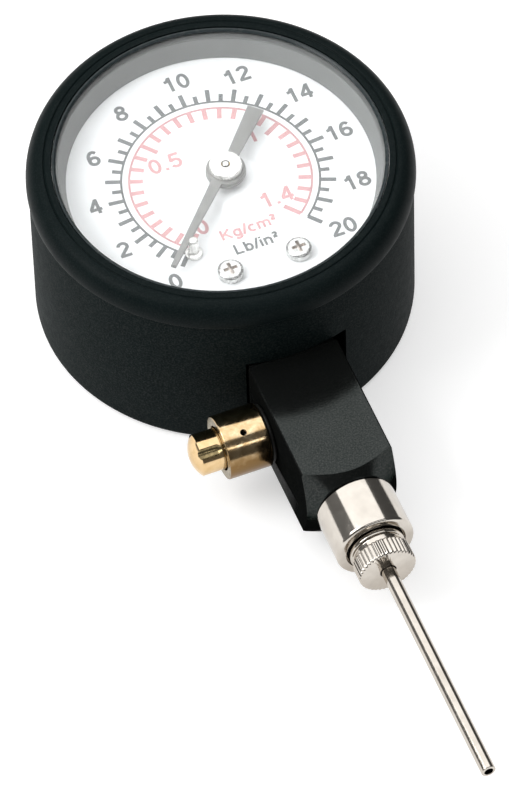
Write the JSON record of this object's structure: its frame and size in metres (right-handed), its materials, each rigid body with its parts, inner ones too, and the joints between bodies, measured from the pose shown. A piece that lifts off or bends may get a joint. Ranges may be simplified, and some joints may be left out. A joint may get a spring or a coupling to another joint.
{
  "type": "ball pressure gauge",
  "caption": "Round dial pressure gauge with a square stem, a side bleed valve with push button and a screw-in needle for checking inflated sports balls.",
  "frame": {"origin": "centre of the case back, on the plane of the back face", "axes": "+Z out of the dial, -Y along the needle, -X towards the bleed valve; dial figures read upright with +Y up"},
  "size_m": [0.052, 0.1188, 0.0281],
  "materials": {
    "case_black": "fine matte grain",
    "bezel_black": "satin",
    "stem_black": "satin black plating on brass",
    "lens_clear": "clear moulded window",
    "ring_grey": "matte",
    "dial_white": "matte white print ground",
    "pointer_grey": "satin grey",
    "screw_steel": "nickel plated steel",
    "brass": "bright turned",
    "movement_brass": "stamped, dull",
    "bronze": "drawn phosphor bronze",
    "nickel": "bright nickel plating",
    "rubber": "matt"
  },
  "bodies": {
    "gauge_body": {"case_cup": "case_black", "bezel_ring": "bezel_black", "lens": "lens_clear", "spacer_ring": "ring_grey", "dial_plate": "dial_white", "stop_pin": "screw_steel", "dial_screw_left": "screw_steel", "dial_post_left": "movement_brass", "dial_screw_right": "screw_steel", "dial_post_right": "movement_brass", "case_screw_upper": "screw_steel", "case_screw_lower": "screw_steel", "movement_back_plate": "movement_brass", "movement_front_plate": "movement_brass", "pillar_1": "movement_brass", "pillar_screw_1": "screw_steel", "pillar_2": "movement_brass", "pillar_screw_2": "screw_steel", "pillar_3": "movement_brass", "pillar_screw_3": "screw_steel", "movement_screw_left": "screw_steel", "movement_screw_right": "screw_steel", "hairspring": "bronze", "hairspring_stud": "movement_brass", "stem_block": "stem_black", "bourdon_tube": "bronze", "outlet_sleeve": "nickel", "outlet_gasket": "rubber", "valve_body": "brass", "valve_o_ring": "rubber", "valve_spring": "screw_steel"},
    "pointer": {"pointer_blade": "pointer_grey", "pointer_hub": "pointer_grey", "pinion_arbor": "movement_brass"},
    "sector": {"sector_gear": "movement_brass", "sector_arbor": "screw_steel"},
    "tube_tip": {"tube_tip": "movement_brass", "link": "movement_brass"},
    "valve_button": {"valve_button": "brass", "valve_seal": "rubber"},
    "needle_ring": {"needle_o_ring": "rubber"},
    "needle": {"needle_collar": "nickel", "needle_tube": "nickel"}
  },
  "joints": [
    {"name": "pointer_turn", "type": "hinge", "parent": "gauge_body", "child": "pointer", "pos_m": [0.00066, -0.00015, 0.0233], "axis": [0, 0, -1], "range_deg": [0, 280], "stiffness_Nm_per_rad": 0.0001, "deforming": ["hairspring"]},
    {"name": "sector_turn", "type": "hinge", "parent": "gauge_body", "child": "sector", "pos_m": [-0.00661, -0.01143, 0.0185], "axis": [0, 0, 1], "range_deg": [0, 30.6]},
    {"name": "tube_tip_slide", "type": "slide", "parent": "gauge_body", "child": "tube_tip", "axis": [-0.9962, 0.0872, 0], "range_m": [0, 0.00237], "deforming": ["bourdon_tube"]},
    {"name": "valve_press", "type": "slide", "parent": "gauge_body", "child": "valve_button", "axis": [1, 0, 0], "range_m": [0, 0.0015], "stiffness_N_per_m": 600, "deforming": ["valve_spring"]},
    {"name": "needle_out", "type": "slide", "parent": "gauge_body", "child": "needle_ring", "axis": [0, -1, 0], "range_m": [0, 0.00317]},
    {"name": "needle_unscrew", "type": "hinge", "parent": "needle_ring", "child": "needle", "pos_m": [0, -0.0558, 0.00986], "axis": [0, -1, 0], "range_deg": [0, 1440]}
  ],
  "couplings": [
    {"joint": "sector_turn", "follows": "tube_tip_slide", "rad_per_m": 224.87},
    {"joint": "pointer_turn", "follows": "tube_tip_slide", "rad_per_m": 2061.3},
    {"joint": "needle_unscrew", "follows": "needle_out", "rad_per_m": 7915.8}
  ]
}
